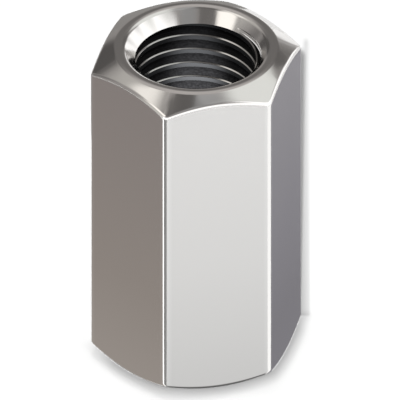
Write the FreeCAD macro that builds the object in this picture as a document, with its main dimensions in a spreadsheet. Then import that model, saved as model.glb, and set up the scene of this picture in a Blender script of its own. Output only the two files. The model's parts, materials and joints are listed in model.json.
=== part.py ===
import FreeCAD, Part
import math
import os

import Sketcher

# Long hexagon coupling nut for a 14 mm thread: one piece of steel that joins two rods
# It is cut from hexagon bar, so its axis is Z and the six flats stand upright
# It is drawn about its middle plane, because both ends are machined alike
# Its placement then lifts it to stand on Z = 0, with the axis through X = Y = 0
# The bore is plain, at the thread's small diameter, and both of its mouths are countersunk

# Driving sizes in millimetres and degrees: name, value, meaning
SIZES = [
    ("across_flats", "19.0", "hexagon bar, from a flat to the opposite flat"),
    ("nut_length", "36.0", "from end face to end face"),
    ("long_edge_round", "0.7", "radius along the six upright edges"),
    ("chamfer_inset", "1.35", "from a flat inwards to the circle where the end chamfer starts"),
    ("chamfer_angle", "30.0", "slope of the end chamfer below the end face"),
    ("chamfer_edge_round", "0.3", "radius where the end chamfer meets the flats"),
    ("rim_land", "0.8", "width of the ring on the end face, before its edges are rounded"),
    ("rim_outer_round", "1.1", "radius from the ring into the end chamfer"),
    ("rim_inner_round", "0.9", "radius from the ring into the countersink"),
    ("countersink_angle", "90.0", "angle of the countersink, from wall to opposite wall"),
    ("bore_diameter", "12.1", "bore before tapping, which is the thread's small diameter"),
]

# Radii from the axis that several features share
CHAMFER_START = "Sizes.across_flats / 2 - Sizes.chamfer_inset"
COUNTERSINK_MOUTH = f"{CHAMFER_START} - Sizes.rim_land"
CORNER_RADIUS = "Sizes.across_flats / sqrt(3)"

# Two rounds share the ring on the end face, and each may use this much of its width
RING_SHARE = 0.48

HEXAGON_SIDES = 6
FULL_TURN = 360
Z_AXIS = FreeCAD.Vector(0, 0, 1)

# How constraints number a line's two ends, a circle's centre and the sketch's own axes
START, END, CENTRE = range(1, 4)
VERTICAL_AXIS, HORIZONTAL_AXIS = range(-2, 0)
ORIGIN = (HORIZONTAL_AXIS, START)


def make_sheet(doc):
    """Write each driving size in a cell of its own, with its name as the alias."""
    sheet = doc.addObject("Spreadsheet::Sheet", "Sizes")
    for row, (alias, value, meaning) in enumerate(SIZES, start=1):
        sheet.set(f"A{row}", alias)
        sheet.set(f"B{row}", value)
        sheet.set(f"C{row}", meaning)
        sheet.setAlias(f"B{row}", alias)
    doc.recompute()
    return sheet


def origin_plane(body, role):
    """Return the body's own origin plane that has this role."""
    return next(item for item in body.Origin.OriginFeatures if item.Role == role)


def new_sketch(body, name, role):
    """Start an empty sketch on one of the body's origin planes."""
    sketch = body.newObject("Sketcher::SketchObject", name)
    sketch.AttachmentSupport = [(origin_plane(body, role), "")]
    sketch.MapMode = "FlatFace"
    return sketch


def bind(sketch, name, expression, *constraint):
    """Add a dimension to a sketch, name it and tie it to the sheet."""
    index = sketch.addConstraint(Sketcher.Constraint(*constraint))
    sketch.renameConstraint(index, name)
    sketch.setExpression(f"Constraints.{name}", expression)


def add_polygon(sketch, corners):
    """Draw lines from corner to corner and back to the first, each joined to the next."""
    points = [FreeCAD.Vector(x, y, 0) for x, y in corners]
    ends = points[1:] + points[:1]
    sketch.addGeometry([Part.LineSegment(a, b) for a, b in zip(points, ends)], False)
    for line in range(len(points)):
        next_line = (line + 1) % len(points)
        joint = Sketcher.Constraint("Coincident", line, END, next_line, START)
        sketch.addConstraint(joint)


def add_circle(sketch, radius, construction):
    """Draw a circle about the sketch's origin."""
    circle = sketch.addGeometry(Part.Circle(FreeCAD.Vector(), Z_AXIS, radius), construction)
    sketch.addConstraint(Sketcher.Constraint("Coincident", circle, CENTRE, *ORIGIN))
    return circle


def hexagon_bar(body, sheet):
    """Pad the hexagon both ways from the middle plane, with two of its flats square to Y."""
    radius = sheet.across_flats / math.sqrt(3)
    turns = [math.tau * side / HEXAGON_SIDES for side in range(HEXAGON_SIDES)]
    sketch = new_sketch(body, "HexagonOutline", "XY_Plane")
    add_polygon(sketch, [(radius * math.cos(turn), radius * math.sin(turn)) for turn in turns])
    circle = add_circle(sketch, radius, True)
    for side in range(HEXAGON_SIDES):
        sketch.addConstraint(Sketcher.Constraint("PointOnObject", side, START, circle))
    for side in range(1, HEXAGON_SIDES):
        sketch.addConstraint(Sketcher.Constraint("Equal", 0, side))
    sketch.addConstraint(Sketcher.Constraint("PointOnObject", 0, START, HORIZONTAL_AXIS))
    bind(sketch, "corner_radius", CORNER_RADIUS, "Radius", circle, radius)
    pad = body.newObject("PartDesign::Pad", "HexagonBar")
    pad.Profile = sketch
    pad.Midplane = True
    pad.setExpression("Length", "Sizes.nut_length")
    return pad


def bore(body, sheet):
    """Drill the bore from end to end."""
    diameter = sheet.bore_diameter
    sketch = new_sketch(body, "BoreOutline", "XY_Plane")
    circle = add_circle(sketch, diameter / 2, False)
    bind(sketch, "bore_diameter", "Sizes.bore_diameter", "Diameter", circle, diameter)
    pocket = body.newObject("PartDesign::Pocket", "Bore")
    pocket.Profile = sketch
    pocket.Type = "ThroughAll"
    pocket.Midplane = True
    return pocket


def turned_cut(body, sketch, name):
    """Turn a profile once round the nut's axis and cut it away."""
    groove = body.newObject("PartDesign::Groove", name)
    groove.Profile = sketch
    groove.ReferenceAxis = (sketch, ["V_Axis"])
    groove.Angle = FULL_TURN
    return groove


def end_chamfer(body, sheet):
    """Turn the upper end to a shallow cone, which leaves an arc at the top of each flat.

    The tool reaches out to a radius as large as the width across flats, past the corners.
    """
    height = sheet.nut_length / 2
    inner = sheet.across_flats / 2 - sheet.chamfer_inset
    outer = sheet.across_flats
    drop = (outer - inner) * math.tan(math.radians(sheet.chamfer_angle))
    sketch = new_sketch(body, "ChamferProfile", "XZ_Plane")
    add_polygon(sketch, [(inner, height), (outer, height), (outer, height - drop)])
    top, side, slope = range(3)
    reach = "Sizes.across_flats"
    fall = f"({reach} - ({CHAMFER_START})) * tan(Sizes.chamfer_angle)"
    sketch.addConstraint(Sketcher.Constraint("Horizontal", top))
    sketch.addConstraint(Sketcher.Constraint("Vertical", side))
    bind(sketch, "end_height", "Sizes.nut_length / 2", "DistanceY", *ORIGIN, top, START, height)
    bind(sketch, "chamfer_start", CHAMFER_START, "DistanceX", *ORIGIN, top, START, inner)
    bind(sketch, "tool_reach", reach, "DistanceX", *ORIGIN, top, END, outer)
    bind(sketch, "chamfer_fall", fall, "DistanceY", slope, START, side, START, drop)
    return turned_cut(body, sketch, "EndChamfer")


def countersink(body, sheet):
    """Sink a cone into the upper mouth of the bore, as far out as the ring allows."""
    height = sheet.nut_length / 2
    mouth = sheet.across_flats / 2 - sheet.chamfer_inset - sheet.rim_land
    depth = mouth / math.tan(math.radians(sheet.countersink_angle / 2))
    sketch = new_sketch(body, "CountersinkProfile", "XZ_Plane")
    add_polygon(sketch, [(0, height), (mouth, height), (0, height - depth)])
    top, wall, axis = range(3)
    fall = f"({COUNTERSINK_MOUTH}) / tan(Sizes.countersink_angle / 2)"
    sketch.addConstraint(Sketcher.Constraint("Horizontal", top))
    sketch.addConstraint(Sketcher.Constraint("PointOnObject", axis, START, VERTICAL_AXIS))
    sketch.addConstraint(Sketcher.Constraint("PointOnObject", axis, END, VERTICAL_AXIS))
    bind(sketch, "end_height", "Sizes.nut_length / 2", "DistanceY", *ORIGIN, top, START, height)
    bind(sketch, "mouth_radius", COUNTERSINK_MOUTH, "DistanceX", *ORIGIN, top, END, mouth)
    bind(sketch, "cone_depth", fall, "DistanceY", axis, START, wall, START, depth)
    return turned_cut(body, sketch, "Countersink")


def lower_end(body, upper_cuts):
    """Repeat the upper end's cuts on the lower end, mirrored in the middle plane."""
    mirrored = body.newObject("PartDesign::Mirrored", "LowerEnd")
    mirrored.Originals = upper_cuts
    mirrored.MirrorPlane = (origin_plane(body, "XY_Plane"), [""])
    body.Tip = mirrored
    return mirrored


def rounded(body, base, name, radius, wanted):
    """Round those edges of the last feature that pass a test."""
    base.Document.recompute()
    edges = enumerate(base.Shape.Edges, start=1)
    rounds = body.newObject("PartDesign::Fillet", name)
    rounds.Base = (base, [f"Edge{number}" for number, edge in edges if wanted(edge)])
    rounds.setExpression("Radius", radius)
    return rounds


def is_upright(edge):
    """One of the six long edges of the hexagon bar."""
    return isinstance(edge.Curve, Part.Line) and abs(edge.Curve.Direction.z) > 0.99


def is_chamfer_arc(edge):
    """The end chamfer's cone meets flats and long rounds in curves that aren't circles."""
    return not isinstance(edge.Curve, (Part.Line, Part.Circle))


def is_end_circle(height, radius):
    """Make the test for the circles of one radius on the two end faces."""

    def wanted(edge):
        curve = edge.Curve
        if not isinstance(curve, Part.Circle):
            return False
        at_end = math.isclose(abs(curve.Center.z), height, rel_tol=1e-6)
        return at_end and math.isclose(curve.Radius, radius, rel_tol=1e-6)

    return wanted


def rim_rounds(body, sheet, base):
    """Round both edges of the ring on each end face, limited by the ring's width."""
    height = sheet.nut_length / 2
    start = sheet.across_flats / 2 - sheet.chamfer_inset
    room = f"{RING_SHARE} * Sizes.rim_land"
    outer = f"min(Sizes.rim_outer_round; {room} / tan(Sizes.chamfer_angle / 2))"
    inner = f"min(Sizes.rim_inner_round; {room} / tan(45 - Sizes.countersink_angle / 4))"
    outside = rounded(body, base, "RimOuterRounds", outer, is_end_circle(height, start))
    mouth = is_end_circle(height, start - sheet.rim_land)
    return rounded(body, outside, "RimInnerRounds", inner, mouth)


def make_nut(doc, sheet):
    """Machine the nut in the order of a workshop, and return its body and its features."""
    body = doc.addObject("PartDesign::Body", "CouplingNut")
    body.Label = "coupling_nut"
    body.setExpression("Placement.Base.z", "Sizes.nut_length / 2")
    bar = hexagon_bar(body, sheet)
    long_edges = rounded(body, bar, "LongEdgeRounds", "Sizes.long_edge_round", is_upright)
    drilled = bore(body, sheet)
    chamfered = end_chamfer(body, sheet)
    countersunk = countersink(body, sheet)
    ends = lower_end(body, [chamfered, countersunk])
    arc_round = "Sizes.chamfer_edge_round"
    arcs = rounded(body, ends, "ChamferEdgeRounds", arc_round, is_chamfer_arc)
    rim = rim_rounds(body, sheet, arcs)
    doc.recompute()
    return body, [bar, long_edges, drilled, chamfered, countersunk, ends, arcs, rim]


def check(doc, body, features):
    """Stop if a feature failed or removed nothing, or if the solid isn't whole."""
    failed = [item.Name for item in doc.Objects if {"Invalid", "Error"} & set(item.State)]
    if failed:
        raise RuntimeError(f"these objects failed: {failed}")
    for before, after in zip(features, features[1:]):
        if after.Shape.Volume >= before.Shape.Volume:
            raise RuntimeError(f"{after.Name} removes nothing")
    if body.Shape.isNull() or not body.Shape.isValid() or len(body.Shape.Solids) != 1:
        raise RuntimeError(f"{body.Label} isn't one valid solid")


def main():
    doc = FreeCAD.newDocument("CouplingNut")
    sheet = make_sheet(doc)
    body, features = make_nut(doc, sheet)
    check(doc, body, features)
    os.makedirs("parts", exist_ok=True)
    body.Shape.exportStep(f"parts/{body.Label}.step")
    box = body.Shape.optimalBoundingBox()
    print(f"{body.Label}: {body.Shape.Volume:.1f} mm3, {box.XLength:.2f} x {box.YLength:.2f}")
    print(f"from Z {box.ZMin:.2f} to {box.ZMax:.2f}, {len(body.Shape.Faces)} faces")


main()
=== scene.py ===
# %% [markdown]
# # A long hexagon nut in polished steel
#
# The nut is one piece of hexagon bar.  A lathe faces and chamfers both of its ends and
# countersinks the bore, and a tap cuts one thread right through it.  This lesson builds the
# same nut in the same order: bar, turned ends, thread, polish.  Then it stands the nut in a
# small photo studio.
#
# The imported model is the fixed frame.  It gives the length, the width across flats and the
# radius of the bore, so nothing here has to be fitted afterwards.

# %% Load the frame
import json
import math

import bmesh
import bpy
from mathutils import Matrix, Vector


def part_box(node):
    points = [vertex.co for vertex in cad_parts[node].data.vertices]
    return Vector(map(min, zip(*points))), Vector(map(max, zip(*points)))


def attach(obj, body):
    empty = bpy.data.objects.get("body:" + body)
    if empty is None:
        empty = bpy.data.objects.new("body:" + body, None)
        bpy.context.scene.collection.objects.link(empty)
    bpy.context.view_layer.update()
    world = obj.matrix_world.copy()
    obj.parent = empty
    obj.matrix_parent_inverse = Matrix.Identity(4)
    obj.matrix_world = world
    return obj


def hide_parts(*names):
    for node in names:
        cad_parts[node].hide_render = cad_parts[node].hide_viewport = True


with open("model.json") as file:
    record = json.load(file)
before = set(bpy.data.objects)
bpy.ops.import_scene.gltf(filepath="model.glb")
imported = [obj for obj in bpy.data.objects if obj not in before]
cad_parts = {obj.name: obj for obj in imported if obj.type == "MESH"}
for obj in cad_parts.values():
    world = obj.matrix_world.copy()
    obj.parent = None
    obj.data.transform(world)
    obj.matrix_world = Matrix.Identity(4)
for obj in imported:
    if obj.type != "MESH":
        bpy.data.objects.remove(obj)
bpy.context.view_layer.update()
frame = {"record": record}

# %% [markdown]
# ## Sizes from the frame
#
# Work in millimetres while modelling, because bevels and booleans are more exact on numbers
# near one than on numbers near a thousandth.  The finished mesh is scaled to metres once, at
# the end.

# %% Read the sizes
MM = 0.001

node_low, node_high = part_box("coupling_nut")
nut_length = (node_high.z - node_low.z) / MM
across_flats = (node_high.y - node_low.y) / MM
mounts = {mount["name"]: mount for mount in frame["record"]["mounts"]}
bore_radius = mounts["threaded_bore"]["dims"]["r_mm"]
flat_distance = across_flats / 2
print(f"bar {across_flats:.2f} across flats, {nut_length:.2f} long, bore {bore_radius:.2f}")

# %% [markdown]
# ## The hexagon bar
#
# The two ends are alike, so only the upper half is modelled, from the middle plane up, and
# mirrored at the end.  The bar could be a cylinder with six sides.  A circle of six edges
# that is pulled up does the same, and it leaves both ends open, ready for the turned faces.
# Drawing dies leave the six long edges a little round.  A bevel with a profile of 0.5 follows
# an arc in six short flats, and its offset is the distance from the old edge to where that
# arc begins.

# %% Pull the bar up from its middle plane
LONG_EDGE_ROUND = 0.7
TURN_AT_CORNER = math.radians(60)
ROUND_SEGMENTS = 6


def round_edges(bm, edges, radius, turn):
    """Bevel edges to a round of this radius, where the surface turns this much at the edge."""
    bmesh.ops.bevel(
        bm, geom=edges, offset=radius * math.tan(turn / 2), offset_type="OFFSET",
        segments=ROUND_SEGMENTS, profile=0.5, affect="EDGES", clamp_overlap=False,
        loop_slide=True, material=-1,
    )


nut = bmesh.new()
bmesh.ops.create_circle(
    nut, segments=6, radius=across_flats / math.sqrt(3),
    matrix=Matrix.Rotation(math.radians(30), 4, "Z"),
)
pulled = bmesh.ops.extrude_edge_only(nut, edges=nut.edges[:])["geom"]
top_corners = [item for item in pulled if isinstance(item, bmesh.types.BMVert)]
bmesh.ops.translate(nut, verts=top_corners, vec=(0, 0, nut_length / 2))

long_edges = [edge for edge in nut.edges if edge.verts[0].co.z != edge.verts[1].co.z]
round_edges(nut, long_edges, LONG_EDGE_ROUND, TURN_AT_CORNER)
corner_reach = max(vert.co.x for vert in nut.verts)
print(f"half bar: {len(nut.faces)} faces, corners reach {corner_reach:.3f} mm")

# %% [markdown]
# ## Divide the flats
#
# The end chamfer is a cone, and a cone cuts a flat in a curve.  A straight edge can't follow
# a curve, so each flat gets upright divisions first.  They cost little, because a flat stays
# flat however it is divided.

# %% Divide the flats upright
FLAT_DIVISIONS = 24

crosswise = [
    edge for edge in nut.edges
    if edge.verts[0].co.z == edge.verts[1].co.z and edge.calc_length() > LONG_EDGE_ROUND
]
bmesh.ops.subdivide_edges(
    nut, edges=crosswise, cuts=FLAT_DIVISIONS - 1, use_grid_fill=True,
)
print(f"after dividing: {len(nut.faces)} faces")

# %% [markdown]
# ## Turn the end
#
# On the lathe the tool sweeps a cone round the end.  Here each vertex of the top loop goes
# down to the cone's height at its own distance from the axis.  The next loops are pulled
# inwards from it and laid on circles: the start of the chamfer, the mouth of the countersink
# and the foot of the countersink's cone, deep inside what the tap will take away.  Every
# loop has the same number of vertices, so all faces are quads that run along the cone's own
# straight lines, and the bevels that follow come out clean.

# %% Bring the top loop down to the chamfer
CHAMFER_INSET = 1.35
CHAMFER_SLOPE = math.radians(30)
WELD = 0.001

top = nut_length / 2
chamfer_start = flat_distance - CHAMFER_INSET
arc_loop = [
    edge for edge in nut.edges if all(vert.co.z > top - WELD for vert in edge.verts)
]
for vert in {vert for edge in arc_loop for vert in edge.verts}:
    vert.co.z = top - (vert.co.xy.length - chamfer_start) * math.tan(CHAMFER_SLOPE)
lowest_arc = min(vert.co.z for edge in arc_loop for vert in edge.verts)
print(f"chamfer from {chamfer_start:.2f} mm out, {top - lowest_arc:.2f} mm deep at the corners")

# %% Pull the chamfer, the end face and the countersink inwards
RIM_LAND = 0.8
SINK_SLOPE = math.radians(45)
SINK_FOOT = 0.94


def turned_loop(bm, loop, radius, height):
    """Pull a closed loop of edges inwards onto a circle, and return the new loop."""
    drawn = bmesh.ops.extrude_edge_only(bm, edges=loop)["geom"]
    for vert in (item for item in drawn if isinstance(item, bmesh.types.BMVert)):
        direction = vert.co.xy.normalized()
        vert.co = (direction.x * radius, direction.y * radius, height)
    return [item for item in drawn if isinstance(item, bmesh.types.BMEdge)]


mouth_radius = chamfer_start - RIM_LAND
foot_radius = bore_radius * SINK_FOOT
foot_depth = (mouth_radius - foot_radius) / math.tan(SINK_SLOPE)
outer_loop = turned_loop(nut, arc_loop, chamfer_start, top)
mouth_loop = turned_loop(nut, outer_loop, mouth_radius, top)
foot_loop = turned_loop(nut, mouth_loop, foot_radius, top - foot_depth)
bmesh.ops.contextual_create(nut, geom=foot_loop)
print(f"end face from {chamfer_start:.2f} in to {mouth_radius:.2f} mm, {len(arc_loop)} edges round")

# %% [markdown]
# ## Soften the edges
#
# Tumbling in a drum of polishing stones takes every edge off a nut like this one, and these
# small rounds catch the white lines of light that make polished steel look like steel.  Three
# loops are bevelled, each by its own radius: the arcs between chamfer and flats, and both
# sides of the ring on the end face.  Then the lower half is made as a mirror image.  A mirror
# turns its copy inside out, so once the halves are welded all faces are turned outwards again.

# %% Round the arcs and both sides of the rim
TURN_AT_ARC = math.radians(62)
CHAMFER_EDGE_ROUND = 0.6
RIM_OUTER_ROUND = 1.1
RIM_INNER_ROUND = 0.9

round_edges(nut, [edge for edge in arc_loop if edge.is_valid], CHAMFER_EDGE_ROUND, TURN_AT_ARC)
round_edges(nut, outer_loop, RIM_OUTER_ROUND, CHAMFER_SLOPE)
round_edges(nut, mouth_loop, RIM_INNER_ROUND, SINK_SLOPE)
print(f"upper half: {len(nut.faces)} faces")

# %% Mirror the upper half
bmesh.ops.mirror(nut, geom=nut.verts[:] + nut.edges[:] + nut.faces[:], axis="Z", merge_dist=WELD)
bmesh.ops.remove_doubles(nut, verts=nut.verts[:], dist=WELD)
bmesh.ops.recalc_face_normals(nut, faces=nut.faces[:])
bmesh.ops.translate(nut, verts=nut.verts[:], vec=(0, 0, nut_length / 2))
open_edges = sum(not edge.is_manifold for edge in nut.edges)
print(f"blank: {len(nut.faces)} faces, {open_edges} open edges, {nut.calc_volume():.1f} mm3")

# %% [markdown]
# ## The tap
#
# A displaced cylinder would only imitate a thread, and its crests would be soft.  A tap cuts
# a real one, so a tap is what is modelled: one tooth's outline, from one small diameter to
# the next, spun round the axis while it climbs one pitch a turn.  Counterclockwise and
# upwards makes a right-hand thread.  The pitch is the measured distance from one bright line
# of the thread to the next.  The teeth lean 30 degrees to each side, and the tips and roots
# are a little rounded, as wear rounds them on the real tool.  A full spin is usually welded
# to its start, but this one ends a pitch higher, so it isn't.

# %% Draw one tooth
THREAD_PITCH = 1.67
THREAD_RADIUS = 6.6
FLANK_LEAN = math.radians(30)
TIP_FLAT = 0.545
TOOTH_ROUND = 0.05
TOOTH_ROUND_SEGMENTS = 3

flank_width = (THREAD_RADIUS - bore_radius) * math.tan(FLANK_LEAN)
crest_flat = THREAD_PITCH - TIP_FLAT - 2 * flank_width
tooth = [
    (bore_radius, 0),
    (bore_radius, crest_flat / 2),
    (THREAD_RADIUS, crest_flat / 2 + flank_width),
    (THREAD_RADIUS, crest_flat / 2 + flank_width + TIP_FLAT),
    (bore_radius, THREAD_PITCH - crest_flat / 2),
    (bore_radius, THREAD_PITCH),
]

tap = bmesh.new()
points = [tap.verts.new((radius, 0, height)) for radius, height in tooth]
for lower, upper in zip(points, points[1:]):
    tap.edges.new((lower, upper))
bmesh.ops.bevel(
    tap, geom=points[1:-1], offset=TOOTH_ROUND, offset_type="OFFSET",
    segments=TOOTH_ROUND_SEGMENTS, profile=0.5, affect="VERTICES", material=-1,
)
print(f"tooth: {len(tap.verts)} points, tip {TIP_FLAT:.2f} mm, crest {crest_flat:.2f} mm")

# %% Spin the tap
STEPS_IN_TURN = 144
SPARE_TURNS = 2
THREAD_TURN = math.radians(162)

bmesh.ops.spin(
    tap, geom=tap.verts[:] + tap.edges[:], cent=(0, 0, 0), axis=(0, 0, 1),
    dvec=(0, 0, THREAD_PITCH / STEPS_IN_TURN), angle=math.tau, steps=STEPS_IN_TURN,
    use_merge=False, use_duplicate=False,
)
one_turn = tap.verts[:] + tap.edges[:] + tap.faces[:]
turns = math.ceil(nut_length / THREAD_PITCH) + 2 * SPARE_TURNS
for turn in range(1, turns):
    copied = bmesh.ops.duplicate(tap, geom=one_turn)["geom"]
    lifted = [item for item in copied if isinstance(item, bmesh.types.BMVert)]
    bmesh.ops.translate(tap, verts=lifted, vec=(0, 0, turn * THREAD_PITCH))
bmesh.ops.remove_doubles(tap, verts=tap.verts[:], dist=WELD)
bmesh.ops.rotate(
    tap, verts=tap.verts[:], cent=(0, 0, 0), matrix=Matrix.Rotation(THREAD_TURN, 3, "Z"),
)
bmesh.ops.translate(tap, verts=tap.verts[:], vec=(0, 0, -SPARE_TURNS * THREAD_PITCH))
print(f"tap: {turns} turns, {len(tap.faces)} faces")

# %% [markdown]
# ## Let the thread run out
#
# A groove that met the countersink at full depth would leave a deep notch there.  On the real
# nut the groove rises out of the metal over about a third of a turn.  So the teeth that pass
# near an end are made shallower, by how far the middle of each lies from that end.  What is
# left of the tap beyond the ends is cut off flat, and the cuts are closed, because a boolean
# needs a tool without holes.

# %% Make the teeth shallow near the ends
GONE_AT = 0.3
FULL_DEPTH_AT = 0.9

for vert in tap.verts:
    climbed = THREAD_PITCH * (math.atan2(vert.co.y, vert.co.x) - THREAD_TURN) / math.tau
    teeth_below = math.floor((vert.co.z - climbed) / THREAD_PITCH)
    middle_of_tooth = climbed + THREAD_PITCH * (teeth_below + 0.5)
    from_end = min(middle_of_tooth, nut_length - middle_of_tooth)
    share = min(1, max(0, (from_end - GONE_AT) / (FULL_DEPTH_AT - GONE_AT)))
    radius = vert.co.xy.length
    vert.co.xy *= (bore_radius + (radius - bore_radius) * share) / radius
print(f"teeth at full depth from {FULL_DEPTH_AT} mm inside each end")

# %% Cut the tap to length
PAST_END = 0.3
ON_PLANE = 0.0001

for height, upwards in ((-PAST_END, -1), (nut_length + PAST_END, 1)):
    cut = bmesh.ops.bisect_plane(
        tap, geom=tap.verts[:] + tap.edges[:] + tap.faces[:], dist=ON_PLANE,
        plane_co=(0, 0, height), plane_no=(0, 0, upwards), clear_outer=True,
    )
    rim = [item for item in cut["geom_cut"] if isinstance(item, bmesh.types.BMEdge)]
    bmesh.ops.contextual_create(tap, geom=rim)
bmesh.ops.recalc_face_normals(tap, faces=tap.faces[:])
open_edges = sum(not edge.is_manifold for edge in tap.edges)
print(f"tap cut to length: {len(tap.faces)} faces, {open_edges} open edges")

# %% [markdown]
# ## Cut the thread
#
# The tap is taken out of the blank with an exact boolean.  The solver works out where the
# helix runs out through the two countersinks, which no pattern of loops could follow.  The
# new faces keep the tap's material, so the cut thread can have a finish of its own.

# %% Cut the thread and scale to metres


def new_object(name, bm, material):
    """Make an object from a finished bmesh, with one material."""
    mesh = bpy.data.meshes.new(name)
    bm.to_mesh(mesh)
    bm.free()
    mesh.materials.append(material)
    piece = bpy.data.objects.new(name, mesh)
    bpy.context.scene.collection.objects.link(piece)
    return piece


polished_steel = bpy.data.materials.new("polished_steel")
tapped_steel = bpy.data.materials.new("tapped_steel")
blank = new_object("nut_blank", nut, polished_steel)
cutter = new_object("thread_tap", tap, tapped_steel)
cut = blank.modifiers.new("thread", "BOOLEAN")
cut.operation = "DIFFERENCE"
cut.solver = "EXACT"
cut.material_mode = "TRANSFER"
cut.object = cutter
threaded = bpy.data.meshes.new_from_object(
    blank.evaluated_get(bpy.context.evaluated_depsgraph_get())
)
bpy.data.objects.remove(blank)
bpy.data.objects.remove(cutter)
threaded.transform(Matrix.Scale(MM, 4))
threaded.name = "threaded_nut"
threaded_nut = bpy.data.objects.new("threaded_nut", threaded)
bpy.context.scene.collection.objects.link(threaded_nut)
threaded.calc_loop_triangles()
print(f"threaded nut: {len(threaded.loop_triangles)} triangles, {len(threaded.materials)} materials")

# %% [markdown]
# ## Smooth faces, crisp lips
#
# Smooth shading hides the short flats of the rounds.  It must stop at real corners, or the
# faces beside them would look bent.  Where the groove rises out of the countersink its lip is
# nearly flush, too flush for an angle to find it, but there the two finishes meet.  So every
# edge between the finishes is made sharp as well.  Last, a modifier gives large faces more
# say in the direction of a shared corner, which keeps them flat.

# %% Shade the nut
SHARP_ANGLE = math.radians(35)
LARGE_FACE_WEIGHT = 50

threaded.polygons.foreach_set("use_smooth", [True] * len(threaded.polygons))
threaded.set_sharp_from_angle(angle=SHARP_ANGLE)
lips = bmesh.new()
lips.from_mesh(threaded)
for edge in lips.edges:
    if len({face.material_index for face in edge.link_faces}) > 1:
        edge.smooth = False
sharp_edges = sum(not edge.smooth for edge in lips.edges)
lips.to_mesh(threaded)
lips.free()

even = threaded_nut.modifiers.new("flat_faces_stay_flat", "WEIGHTED_NORMAL")
even.keep_sharp = True
even.weight = LARGE_FACE_WEIGHT
print(f"{sharp_edges} sharp edges")

# %% [markdown]
# ## Small tools for finishes
#
# A finish is a chain of small steps: measure where a point lies, turn that into a mask, and
# mix two tones by the mask.  Each helper adds one such step and returns its result, so a
# finish can be read like a sum.  Distance from the axis tells crest from groove, and depth
# below the nearer end tells the end of the bar from its sides, so they have a helper of their
# own.

# %% Helpers that add one step


def maths(tree, operation, first, second=None):
    """Add a Math node, with sockets or numbers as its inputs, and return its result."""
    node = tree.nodes.new("ShaderNodeMath")
    node.operation = operation
    for socket, value in zip(node.inputs, (first, second)):
        if isinstance(value, bpy.types.NodeSocket):
            tree.links.new(value, socket)
        elif value is not None:
            socket.default_value = value
    return node.outputs["Value"]


def mix_colours(tree, mask, below, above):
    """Mix two colours, each a socket or a tuple, by a mask, and return the result."""
    blend = tree.nodes.new("ShaderNodeMix")
    blend.data_type = "RGBA"
    tree.links.new(mask, blend.inputs["Factor"])
    sockets = [item for item in blend.inputs if item.type == "RGBA"]
    for socket, colour in zip(sockets, (below, above)):
        if isinstance(colour, bpy.types.NodeSocket):
            tree.links.new(colour, socket)
        else:
            socket.default_value = colour
    return next(item for item in blend.outputs if item.type == "RGBA")


def ramp(tree, value, low, high, at_low=0, at_high=1, easing="LINEAR"):
    """Lead a value from one number to another while it goes from low to high."""
    node = tree.nodes.new("ShaderNodeMapRange")
    node.interpolation_type = easing
    node.inputs["From Min"].default_value = low
    node.inputs["From Max"].default_value = high
    node.inputs["To Min"].default_value = at_low
    node.inputs["To Max"].default_value = at_high
    tree.links.new(value, node.inputs["Value"])
    return node.outputs["Result"]


def noise(tree, place, scale):
    """Add a noise of this scale, and return its value."""
    node = tree.nodes.new("ShaderNodeTexNoise")
    node.inputs["Scale"].default_value = scale
    tree.links.new(place, node.inputs["Vector"])
    return node.outputs["Fac"]


print("helpers for finishes are ready")

# %% Helper that measures a place on the nut


def place_on_nut(tree):
    """Return the place, its distance from the axis and its depth below the nearer end.

    The distance and the depth are in millimetres.
    """
    place = tree.nodes.new("ShaderNodeTexCoord").outputs["Object"]
    parts = tree.nodes.new("ShaderNodeSeparateXYZ")
    level = tree.nodes.new("ShaderNodeCombineXYZ")
    reach = tree.nodes.new("ShaderNodeVectorMath")
    reach.operation = "LENGTH"
    tree.links.new(place, parts.inputs["Vector"])
    tree.links.new(parts.outputs["X"], level.inputs["X"])
    tree.links.new(parts.outputs["Y"], level.inputs["Y"])
    tree.links.new(level.outputs["Vector"], reach.inputs[0])
    radius = maths(tree, "DIVIDE", reach.outputs["Value"], MM)
    height = maths(tree, "DIVIDE", parts.outputs["Z"], MM)
    off_middle = maths(tree, "ABSOLUTE", maths(tree, "SUBTRACT", height, nut_length / 2))
    return place, radius, maths(tree, "SUBTRACT", nut_length / 2, off_middle)


print("a place on the nut can be measured")

# %% [markdown]
# ## Polished steel
#
# The outside is bright and smooth.  A mirror would look like glass, so the steel gets a small
# roughness that drifts over the surface, and marks far too fine to see one by one: lines
# along the bar from the drawing die, and rings on the ends from the lathe.  The six long
# edges have rubbed against other nuts, and they are a shade brighter.  The lines are a noise
# that is stretched along the bar, and the rings are a noise that only depends on the distance
# from the axis.

# %% Finish the bar
STEEL = (0.74, 0.725, 0.71, 1)
WORN_STEEL = (0.8, 0.79, 0.775, 1)
POLISH_ROUGHNESS = 0.12
POLISH_DRIFT = 0.15
DRIFT_SCALE = 180
DRAWN_SCALE = 4000
DRAWN_STRETCH = 0.02
RING_SCALE = 9
RINGS_END, LINES_BEGIN = 0.3, 0.6
LINE_DEPTH = 0.0012
EDGE_WEAR = 0.25


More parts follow.
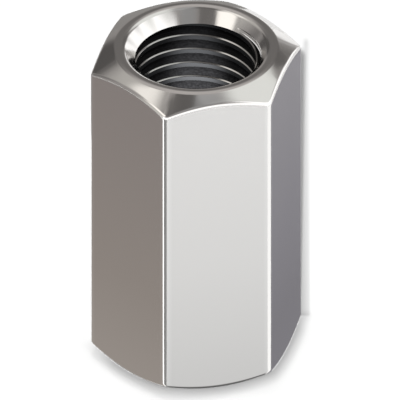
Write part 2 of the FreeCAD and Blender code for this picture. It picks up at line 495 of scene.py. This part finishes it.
def finish_bar(material):
    """Polish a material: drifting roughness, drawn lines, turned rings and worn edges."""
    material.use_nodes = True
    tree = material.node_tree
    shader = tree.nodes["Principled BSDF"]
    shader.inputs["Metallic"].default_value = 1
    place, radius, depth = place_on_nut(tree)

    drift = noise(tree, place, DRIFT_SCALE)
    smoothest, roughest = (POLISH_ROUGHNESS * (1 + sign * POLISH_DRIFT) for sign in (-1, 1))
    tree.links.new(ramp(tree, drift, 0, 1, smoothest, roughest), shader.inputs["Roughness"])

    drawn = tree.nodes.new("ShaderNodeMapping")
    drawn.inputs["Scale"].default_value = (1, 1, DRAWN_STRETCH)
    tree.links.new(place, drawn.inputs["Vector"])
    ring_place = tree.nodes.new("ShaderNodeCombineXYZ")
    tree.links.new(radius, ring_place.inputs["X"])
    relief = tree.nodes.new("ShaderNodeMix")
    relief.data_type = "FLOAT"
    on_end = ramp(tree, depth, RINGS_END, LINES_BEGIN, 1, 0)
    tree.links.new(on_end, relief.inputs["Factor"])
    tree.links.new(noise(tree, drawn.outputs["Vector"], DRAWN_SCALE), relief.inputs["A"])
    tree.links.new(noise(tree, ring_place.outputs["Vector"], RING_SCALE), relief.inputs["B"])
    bump = tree.nodes.new("ShaderNodeBump")
    bump.inputs["Distance"].default_value = LINE_DEPTH * MM
    tree.links.new(relief.outputs["Result"], bump.inputs["Height"])
    tree.links.new(bump.outputs["Normal"], shader.inputs["Normal"])

    worn = ramp(tree, radius, corner_reach - EDGE_WEAR, corner_reach)
    tree.links.new(mix_colours(tree, worn, STEEL, WORN_STEEL), shader.inputs["Base Color"])


finish_bar(polished_steel)
print(f"polished steel, edges worn from {corner_reach - EDGE_WEAR:.2f} mm out")

# %% [markdown]
# ## The cut thread
#
# The tap burnishes the thread's flanks.  The groove is painted with shade: a dull, nearly
# black tone in patches that vary at random, darker towards the mouth.  Only a narrow strip of
# each flank, next to the crest, stays bare metal and shines as a thin pale line.  The crests
# are what is left of the drilled bore.  They are dull, and painted darker towards the mouth,
# which is painted shade too.  Painting this by hand on a helix would take long, but all of it
# follows from the distance to the axis and the depth.  Where the groove runs out through the
# countersink, it is polished like the countersink.

# %% Choose the tones of the thread and where each begins
FLANK_STEEL = (0.5, 0.49, 0.48, 1)
# Crest and groove tones are painted shade: dull and nearly black
CREST_STEEL = (0.0066, 0.0068, 0.0072, 1)
GROOVE_SHADE = (0.0023, 0.0023, 0.00245, 1)
BLACK = (0, 0, 0, 1)
BLEND = 0.02
STRIP_FROM = bore_radius + 0.012
GROOVE_FROM = bore_radius + 0.11
GROOVE_FULL = GROOVE_FROM + 3 * BLEND
SINK_DEPTH = (mouth_radius - bore_radius) / math.tan(SINK_SLOPE)
POLISH_ENDS = SINK_DEPTH - 8 * BLEND
THREAD_BEGINS = SINK_DEPTH - 4 * BLEND
ABOVE_MOUTH, DEEP = -1.7, 9.0
print(f"thread: bare strip {GROOVE_FROM - STRIP_FROM:.3f} mm deep, next to the crest")

# %% Finish the thread
GROOVE_SHARE = 0.7
MOTTLE_SCALE = 5000
MOTTLE_VALUES = 0.3, 0.7
MOTTLE_SHARES = 0.55, 1.45
DULL_ROUGHNESS, BURNISHED_ROUGHNESS = 0.4, 0.09
DULL_SPECULAR = 0.05


def finish_thread(material):
    """Burnish a strip of each flank; paint crests and grooves dull and dark with painted shade,
    darker near the mouth.
    """
    material.use_nodes = True
    tree = material.node_tree
    shader = tree.nodes["Principled BSDF"]
    shader.inputs["Specular IOR Level"].default_value = DULL_SPECULAR
    place, radius, depth = place_on_nut(tree)
    on_flank = ramp(tree, radius, STRIP_FROM, STRIP_FROM + BLEND)
    in_groove = ramp(tree, radius, GROOVE_FROM, GROOVE_FULL)
    in_sink = ramp(tree, depth, POLISH_ENDS, THREAD_BEGINS, 1, 0)

    # Painted shade: crests go from black at the mouth to their dull tone deeper in
    crest_tone = mix_colours(tree, ramp(tree, depth, ABOVE_MOUTH, DEEP), BLACK, CREST_STEEL)
    # Painted shade: the groove is nearly black, darker towards the mouth, and mottled at random
    shade_mottle = ramp(tree, noise(tree, place, MOTTLE_SCALE), *MOTTLE_VALUES, *MOTTLE_SHARES)
    groove_share = maths(tree, "MULTIPLY", shade_mottle, ramp(tree, depth, 0, DEEP, 0, GROOVE_SHARE))
    groove_tone = mix_colours(tree, groove_share, BLACK, GROOVE_SHADE)
    tone = mix_colours(tree, on_flank, crest_tone, FLANK_STEEL)
    tone = mix_colours(tree, in_groove, tone, groove_tone)
    tone = mix_colours(tree, in_sink, tone, STEEL)
    tree.links.new(tone, shader.inputs["Base Color"])

    bare = ramp(tree, radius, STRIP_FROM - BLEND / 2, STRIP_FROM)
    # The groove painted dark with shade is not metal
    painted_dark_groove = ramp(tree, radius, GROOVE_FULL, GROOVE_FULL + BLEND)
    metal = maths(tree, "MAXIMUM", maths(tree, "SUBTRACT", bare, painted_dark_groove), in_sink)
    tree.links.new(metal, shader.inputs["Metallic"])
    burnished = maths(tree, "MAXIMUM", maths(tree, "SUBTRACT", on_flank, in_groove), in_sink)
    roughness = ramp(tree, burnished, 0, 1, DULL_ROUGHNESS, BURNISHED_ROUGHNESS)
    tree.links.new(roughness, shader.inputs["Roughness"])


finish_thread(tapped_steel)
print(f"tapped steel: {len(tapped_steel.node_tree.nodes)} nodes")

# %% [markdown]
# ## Hand over
#
# This nut is one piece with no joints, so it moves with the root.

# %% Hand the nut to the frame
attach(threaded_nut, "root")
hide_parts("coupling_nut")
print("threaded_nut stands in for coupling_nut")

# %% [markdown]
# ## Camera
#
# The camera looks down on the nut from the front, a little from its left.  It is
# orthographic, because upright edges stay parallel in the picture and the far end isn't
# smaller than the near one.  It is aimed a little to the right of the nut's middle and below
# it, because the picture isn't centred on the nut.

# %% Place the camera
CAMERA_AZIMUTH = math.radians(-13.4)
CAMERA_ELEVATION = math.radians(34.4)
PIXELS = 400
PIXELS_PER_MM = 9.925
CAMERA_DISTANCE = 0.4
CAMERA_SEES_TO = 10
AIM_RIGHT = 0.404 * MM
AIM_DOWN = 0.574 * MM

towards_camera = Vector((
    math.sin(CAMERA_AZIMUTH) * math.cos(CAMERA_ELEVATION),
    -math.cos(CAMERA_AZIMUTH) * math.cos(CAMERA_ELEVATION),
    math.sin(CAMERA_ELEVATION),
))
turned = towards_camera.to_track_quat("Z", "Y")
aim = Vector((0, 0, nut_length / 2 * MM)) + turned @ Vector((AIM_RIGHT, -AIM_DOWN, 0))
camera = bpy.data.objects.new("camera", bpy.data.cameras.new("camera"))
bpy.context.scene.collection.objects.link(camera)
bpy.context.scene.camera = camera
camera.data.type = "ORTHO"
camera.data.ortho_scale = PIXELS / PIXELS_PER_MM * MM
camera.data.clip_end = CAMERA_SEES_TO
camera.location = aim + towards_camera * CAMERA_DISTANCE
camera.rotation_mode = "QUATERNION"
camera.rotation_quaternion = turned
print("camera at", [round(side, 4) for side in camera.location])

# %% [markdown]
# ## Floor
#
# The floor is painted grey, and strong lamps make it white.  On white paint the light of the
# sky would fill the shadows, but on grey it counts for little beside the lamps.  A trace of
# glow, for the camera alone, brings the paint up to plain white.

# %% Lay the floor
FLOOR_SIDE = 6.0
FLOOR_GREY = 0.27
FLOOR_GLOW = 0.06

floor_shape = bmesh.new()
bmesh.ops.create_grid(floor_shape, x_segments=1, y_segments=1, size=FLOOR_SIDE / 2)
floor_paint = bpy.data.materials.new("floor_paint")
floor_paint.use_nodes = True
tree = floor_paint.node_tree
paint = tree.nodes["Principled BSDF"]
paint.inputs["Base Color"].default_value = (FLOOR_GREY, FLOOR_GREY, FLOOR_GREY, 1)
paint.inputs["Roughness"].default_value = 1
paint.inputs["Specular IOR Level"].default_value = 0
paint.inputs["Emission Color"].default_value = (1, 1, 1, 1)
path = tree.nodes.new("ShaderNodeLightPath")
glow = maths(tree, "MULTIPLY", path.outputs["Is Camera Ray"], FLOOR_GLOW)
tree.links.new(glow, paint.inputs["Emission Strength"])
floor = new_object("floor", floor_shape, floor_paint)
print(f"floor {FLOOR_SIDE} m wide")

# %% [markdown]
# ## Cards on the floor
#
# The upright flats look down at the floor, each in one direction, and a height on the flat
# shows a distance on the floor.  A photographer lays cards there.  A warm grey card on the
# left and a cool grey one on the right turn two flats grey, and a narrow dark card draws the
# thin dark line beside the bright front edge.  A card is a grid: its columns start at corners
# of the nut and run outwards, and every row has its own distance and tone.  Only the steel
# sees the cards.
#
# Directions are bearings, counted counterclockwise from the camera's right, seen from above.
# So 90 is straight behind the nut and -90 is the camera's own.

# %% Helpers for directions and cards
CORNER_REACH = corner_reach * MM
CARD_LIFT = 0.0001


def bearing_angle(bearing):
    """Angle from +X for a bearing."""
    return math.radians(bearing) + CAMERA_AZIMUTH


def outwards(bearing):
    """Level direction for a bearing."""
    return Vector((math.cos(bearing_angle(bearing)), math.sin(bearing_angle(bearing)), 0))


def card_paper(name):
    """Make a material that glows in the tone stored with the card's vertices."""
    material = bpy.data.materials.new(name)
    material.use_nodes = True
    tree = material.node_tree
    light = tree.nodes.new("ShaderNodeEmission")
    shade = tree.nodes.new("ShaderNodeAttribute")
    shade.attribute_name = "tone"
    tree.links.new(shade.outputs["Color"], light.inputs["Color"])
    tree.links.new(light.outputs["Emission"], tree.nodes["Material Output"].inputs["Surface"])
    material.cycles.emission_sampling = "NONE"
    return material


def floor_card(name, feet, rows):
    """Lay a card that starts at the nut's foot and is seen by reflection only.

    feet holds the corner of the hexagon and the bearing of each line that runs outwards.
    rows holds the distance in millimetres and the colour of each row.
    """
    shape = bmesh.new()
    columns, steps = len(feet) - 1, len(rows) - 1
    bmesh.ops.create_grid(shape, x_segments=columns, y_segments=steps, size=1)
    tone = shape.verts.layers.float_color.new("tone")
    for vert in shape.verts:
        corner, bearing = feet[round((vert.co.x + 1) / 2 * columns)]
        distance, colour = rows[round((vert.co.y + 1) / 2 * steps)]
        corner_turn = Matrix.Rotation(TURN_AT_CORNER * corner, 3, "Z")
        start = corner_turn @ Vector((CORNER_REACH, 0, CARD_LIFT))
        vert.co = start + outwards(bearing) * distance * MM
        vert[tone] = (*colour, 1)
    card = new_object(name, shape, card_paper(name))
    card.visible_camera = False
    card.visible_diffuse = False
    card.visible_shadow = False
    card.visible_transmission = False
    print(f"{name}: {columns} by {steps} faces")


# %% Lay the cards that colour the flats
# Corners are counted counterclockwise from the one on +X
RIGHT, BACK_RIGHT, BACK_LEFT, LEFT, FRONT_LEFT, FRONT_RIGHT = range(6)


def grey(brightness):
    """A colour without a tint."""
    return brightness, brightness, brightness


floor_card(
    "left_card",
    [(FRONT_LEFT, 195), (FRONT_LEFT, 176), (LEFT, 176), (LEFT, 140)],
    [
        (0.3, (0.40, 0.364, 0.336)), (18, (0.345, 0.31, 0.285)),
        (52, (0.30, 0.27, 0.26)), (500, (0.3, 0.28, 0.27)),
    ],
)
floor_card(
    "right_card",
    [(FRONT_RIGHT, 20), (FRONT_RIGHT, 56), (RIGHT, 56), (RIGHT, 63)],
    [
        (0.3, (0.255, 0.25, 0.275)), (9, (0.247, 0.242, 0.266)), (23, (0.28, 0.275, 0.303)),
        (52, (0.35, 0.345, 0.37)), (90, (0.36, 0.355, 0.38)),
    ],
)
# The front card is painted darker near the nut's foot and nearly black under it: painted shade for
# the nut's shadow on the floor, as the steel sees it
floor_card(
    "front_card",
    [(FRONT_LEFT, -97), (FRONT_LEFT, -64), (FRONT_RIGHT, -64), (FRONT_RIGHT, -50)],
    [
        (-0.5, grey(0.08)), (0.4, grey(0.2)), (0.9, (0.775, 0.785, 0.79)),
        (9, (0.83, 0.84, 0.845)), (23, (0.91, 0.92, 0.925)), (55, (1.0, 1.01, 1.015)),
    ],
)

# %% Lay the cards that draw the edges
floor_card(
    "white_card", [(FRONT_LEFT, -165), (FRONT_LEFT, -142)], [(0.3, grey(1.6)), (200, grey(1.6))],
)
floor_card(
    "bright_card",
    [(FRONT_RIGHT, -48), (FRONT_RIGHT, -20), (FRONT_RIGHT, 12)],
    [(0.3, grey(1.2)), (200, grey(1.2))],
)
floor_card(
    "dark_card", [(FRONT_LEFT, -140), (FRONT_LEFT, -122)], [(0.3, grey(0.13)), (200, grey(0.13))],
)
floor_card(
    "half_card", [(FRONT_LEFT, -122), (FRONT_LEFT, -100)], [(0.3, grey(0.38)), (200, grey(0.42))],
)
floor_card(
    "back_card",
    [(BACK_RIGHT, 84), (BACK_LEFT, 100), (LEFT, 150)],
    [(40, (0.3, 0.29, 0.28)), (2800, (0.3, 0.29, 0.28))],
)

# %% [markdown]
# ## Studio
#
# Polished steel has hardly a colour of its own: it shows the room.  So the room is drawn as
# soft panels on the sky, each with a bearing, a height, a softness and a brightness, and each
# is laid over those before it.  The light wraps round the front and the right, a cream panel
# hangs on the left, and the back is dim below and paler high up.  High above the camera it is
# dark on the left and grows lighter to the right in steps, because the near side of the end
# chamfer shows the ceiling there.
#
# Only reflections see the room.  The camera sees plain white, and what the sky gives the
# floor is a plain half light.

# %% Choose the panels
NEUTRAL = (1, 1, 1)
CREAM = (1.03, 1, 0.95)
SMOKE = (1.05, 1, 0.97)
PAPER = (0.985, 1, 0.97)
ROOM = (0.3, SMOKE)
# Bearing, half width, lowest, highest and softness in degrees, then brightness and tint
PANELS = [
    # The ceiling all round, and the back from high to low
    (90, 190, 66, 104, 14, 0.43, SMOKE),
    (95, 50, 50, 80, 14, 0.5, SMOKE),
    (90, 38, 14, 44, 16, 0.17, SMOKE),
    (54, 10, 19, 35, 8, 0.14, SMOKE),
    (128, 14, 4, 31, 8, 0.1, SMOKE),
    # The left, behind and beside the nut
    (160, 12, -40, 28, 10, 0.2, SMOKE),
    (160, 28, 36, 62, 16, 0.52, CREAM),
    (186, 14, -40, 34, 12, 0.34, SMOKE),
    (200, 8, -40, 40, 10, 0.65, CREAM),
    # The bright front and right
    (-60, 92, -40, 28, 10, 1.5, NEUTRAL),
    (-15, 34, 20, 53, 12, 1.5, NEUTRAL),
    (-18, 18, 50, 72, 12, 0.85, PAPER),
    (22, 28, 38, 73, 10, 0.96, PAPER),
    (15, 26, -40, 25, 14, 1.45, NEUTRAL),
    (72, 11, -20, 8, 5, 1.15, NEUTRAL),
    (42, 14, -40, 13, 6, 1.4, NEUTRAL),
    # The cream panel high on the left
    (182, 27, 50, 71, 12, 1.1, CREAM),
    (210, 19, 34, 61, 6, 1.35, CREAM),
    # The dark above the camera's left
    (-116, 19, 46, 72, 8, 0.17, SMOKE),
    (-141, 14, 62, 80, 10, 0.17, SMOKE),
    (-131, 54, 70, 104, 22, 0.12, SMOKE),
    # The ceiling, lighter in steps
    (-60, 42, 76, 104, 24, 0.215, NEUTRAL),
    (-45, 42, 76, 104, 24, 0.29, NEUTRAL),
    (-25, 42, 76, 104, 24, 0.43, NEUTRAL),
    (-73, 16, 38, 74, 12, 0.33, NEUTRAL),
    (-46, 16, 60, 76, 14, 0.45, NEUTRAL),
]
print(f"room: {len(PANELS)} panels")

# %% Draw the room
PLAIN_LEVEL = 0.55


def window(tree, value, middle, half, soft):
    """One where value is within half of middle, falling softly to zero beyond."""
    away = maths(tree, "ABSOLUTE", maths(tree, "SUBTRACT", value, middle))
    return ramp(tree, away, half + soft / 2, half - soft / 2, easing="SMOOTHSTEP")


def tinted(brightness, tint):
    """Colour of a panel."""
    return (*(brightness * share for share in tint), 1)


world = bpy.data.worlds.new("studio")
bpy.context.scene.world = world
world.use_nodes = True
tree = world.node_tree
sky = tree.nodes.new("ShaderNodeTexCoord").outputs["Generated"]
parts = tree.nodes.new("ShaderNodeSeparateXYZ")
tree.links.new(sky, parts.inputs["Vector"])
height_angle = maths(tree, "ARCSINE", parts.outputs["Z"])
room = tinted(*ROOM)
for bearing, half_width, lowest, highest, softness, brightness, tint in PANELS:
    spin = tree.nodes.new("ShaderNodeVectorRotate")
    spin.rotation_type = "Z_AXIS"
    spin.inputs["Angle"].default_value = -bearing_angle(bearing)
    tree.links.new(sky, spin.inputs["Vector"])
    turned_parts = tree.nodes.new("ShaderNodeSeparateXYZ")
    tree.links.new(spin.outputs["Vector"], turned_parts.inputs["Vector"])
    side = maths(tree, "ARCTAN2", turned_parts.outputs["Y"], turned_parts.outputs["X"])
    soft = math.radians(softness)
    middle, half = math.radians((lowest + highest) / 2), math.radians((highest - lowest) / 2)
    across = window(tree, side, 0, math.radians(half_width), soft)
    up = window(tree, height_angle, middle, half, soft)
    room = mix_colours(tree, maths(tree, "MULTIPLY", across, up), room, tinted(brightness, tint))

path = tree.nodes.new("ShaderNodeLightPath")
half_light, white = tinted(PLAIN_LEVEL, NEUTRAL), tinted(1, NEUTRAL)
plain = mix_colours(tree, path.outputs["Is Camera Ray"], half_light, white)
shown = mix_colours(tree, path.outputs["Is Glossy Ray"], plain, room)
tree.links.new(shown, tree.nodes["Background"].inputs["Color"])
print(f"sky: {len(tree.nodes)} nodes")

# %% [markdown]
# ## Gauze
#
# The lamps alone throw a shadow with a hard outline.  Two pieces of black gauze beside the
# nut make it soft.  A net stands beside the right edge and softens the dark strip along it.  A
# skirt lies round the foot, and its inner edge follows the nut's outline as the camera sees
# it: a point that hangs above the floor covers a spot a little farther back.  Both are dense
# beside the nut and thin out away from it, and they do nothing but throw a shadow.  The
# density is stored with their vertices.

# %% Weave the gauze
gauze = bpy.data.materials.new("gauze")
gauze.use_nodes = True
tree = gauze.node_tree
weave = tree.nodes.new("ShaderNodeAttribute")
weave.attribute_name = "weave"
clear = tree.nodes.new("ShaderNodeBsdfTransparent")
yarn = tree.nodes["Principled BSDF"]
yarn.inputs["Base Color"].default_value = BLACK
blend = tree.nodes.new("ShaderNodeMixShader")
tree.links.new(weave.outputs["Fac"], blend.inputs["Fac"])
tree.links.new(clear.outputs["BSDF"], blend.inputs[1])
tree.links.new(yarn.outputs["BSDF"], blend.inputs[2])
tree.links.new(blend.outputs["Shader"], tree.nodes["Material Output"].inputs["Surface"])


def hang(name, shape):
    """Put up a piece of gauze that only throws a shadow."""
    cloth = new_object(name, shape, gauze)
    cloth.visible_camera = False
    cloth.visible_diffuse = False
    cloth.visible_glossy = False
    print(f"{name}: {len(cloth.data.vertices)} points")


# %% Hang the net
NET_FOOT = 0.9
NET_TOP = 0.4
NET_LIFT = 1.5
NET_THICK = 0.66
NET_THIN = 0.25

net_shape = bmesh.new()
bmesh.ops.create_grid(net_shape, x_segments=1, y_segments=1, size=1)
weave_layer = net_shape.verts.layers.float_color.new("weave")
for vert in net_shape.verts:
    outer, upper = vert.co.x > 0, vert.co.y > 0
    vert[weave_layer] = (*grey(NET_THIN if outer else NET_THICK), 1)
    width = (NET_TOP if upper else NET_FOOT) if outer else 0
    height = nut_length if upper else NET_LIFT
    vert.co = Vector((CORNER_REACH, 0, height * MM)) + outwards(0) * width * MM
hang("net", net_shape)

# %% Lay the skirt
SKIRT_STEPS = 96
SKIRT_WIDTH = 1.3
SKIRT_LIFT = 0.05
SKIRT_THICK = 0.6
# Degrees from the camera's bearing where the skirt is gone, and over how many it fades there
SKIRT_LEFT, SKIRT_LEFT_FADE = -82, 25
SKIRT_RIGHT, SKIRT_RIGHT_FADE = 106, 6


def skirt_density(azimuth):
    """Density of the skirt's inner edge: full round the front, fading out on both sides."""
    turn = math.degrees(azimuth - bearing_angle(-90))
    turn = (turn + 180) % 360 - 180
    begun = (turn - SKIRT_LEFT) / SKIRT_LEFT_FADE
    left_over = (SKIRT_RIGHT - turn) / SKIRT_RIGHT_FADE
    return SKIRT_THICK * max(0, min(1, begun, left_over))


def seen_outline(azimuth):
    """Where the nut's lower outline covers the floor, as the camera sees it."""
    off_flat = azimuth % TURN_AT_CORNER - TURN_AT_CORNER / 2
    reach = min(flat_distance / math.cos(off_flat), corner_reach)
    hangs = (reach - chamfer_start) * math.tan(CHAMFER_SLOPE)
    foot = Vector((math.cos(azimuth), math.sin(azimuth), 0)) * reach
    return foot + outwards(90) * hangs / math.tan(CAMERA_ELEVATION)


skirt_shape = bmesh.new()
weave_layer = skirt_shape.verts.layers.float_color.new("weave")
bmesh.ops.create_circle(skirt_shape, segments=SKIRT_STEPS, radius=1)
hem = bmesh.ops.extrude_edge_only(skirt_shape, edges=skirt_shape.edges[:])["geom"]
hem = {item for item in hem if isinstance(item, bmesh.types.BMVert)}
for vert in skirt_shape.verts:
    azimuth = math.atan2(vert.co.y, vert.co.x)
    density = 0 if vert in hem else skirt_density(azimuth)
    vert[weave_layer] = (*grey(density), 1)
    place = seen_outline(azimuth)
    if vert in hem:
        out = Vector((math.cos(azimuth), math.sin(azimuth), 0))
        nearness = out.dot(outwards(-90))
        stretch = 1 / math.sin(CAMERA_ELEVATION) - 1
        place += (out + outwards(-90) * nearness * stretch) * SKIRT_WIDTH
    vert.co = (place + Vector((0, 0, SKIRT_LIFT))) * MM
hang("skirt", skirt_shape)

# %% [markdown]
# ## Lamps
#
# Two lamps with parallel light, like the sun's, light the floor.  The strong one stands at the
# camera, so most of its shadow falls behind the nut, where the camera can't see it.  The weak
# one hangs almost straight above.  A third lamp has a snoot, a narrow tube with a slot at its
# end, and lights only the far wall of the bore.  A reflection of a lamp would be a glaring
# dot, so the steel doesn't show them.

# %% Hang the lamps
LAMP_DISTANCE = 0.3


def lamp(name, bearing, elevation, strength, width):
    """Hang a lamp with parallel light that the steel doesn't show."""
    data = bpy.data.lights.new(name, "SUN")
    data.energy = strength
    data.angle = math.radians(width)
    rise = math.radians(elevation)
    towards_lamp = outwards(bearing) * math.cos(rise) + Vector((0, 0, math.sin(rise)))
    hung = bpy.data.objects.new(name, data)
    bpy.context.scene.collection.objects.link(hung)
    hung.location = towards_lamp * LAMP_DISTANCE
    hung.rotation_mode = "QUATERNION"
    hung.rotation_quaternion = towards_lamp.to_track_quat("Z", "Y")
    hung.visible_glossy = False
    print(f"{name}: bearing {bearing}, elevation {elevation}")


lamp("side_lamp", -90.4, 35, 14.6, 0.6)
lamp("top_lamp", 120, 88.5, 1.2, 4.4)

# %% Point the snoot into the bore
SNOOT_POWER = 140
SNOOT_ANGLE = math.radians(2.6)
SNOOT_SLOT = (0.5, 1, 1)
SNOOT_BULB = 0.001
SNOOT_DEPTH = 8

snoot = bpy.data.lights.new("snoot_lamp", "SPOT")
snoot.energy = SNOOT_POWER
snoot.spot_size = SNOOT_ANGLE
snoot.spot_blend = 1
snoot.shadow_soft_size = SNOOT_BULB
snoot_lamp = bpy.data.objects.new("snoot_lamp", snoot)
bpy.context.scene.collection.objects.link(snoot_lamp)
far_wall = outwards(90) * bore_radius * MM + Vector((0, 0, (nut_length - SNOOT_DEPTH) * MM))
snoot_lamp.location = far_wall + towards_camera * LAMP_DISTANCE
snoot_lamp.rotation_mode = "QUATERNION"
snoot_lamp.rotation_quaternion = turned
snoot_lamp.scale = SNOOT_SLOT
snoot_lamp.visible_glossy = False
print(f"snoot_lamp: aimed {SNOOT_DEPTH} mm below the mouth")

# %% Settings: the view transform
bpy.context.scene.view_settings.view_transform = "Standard"
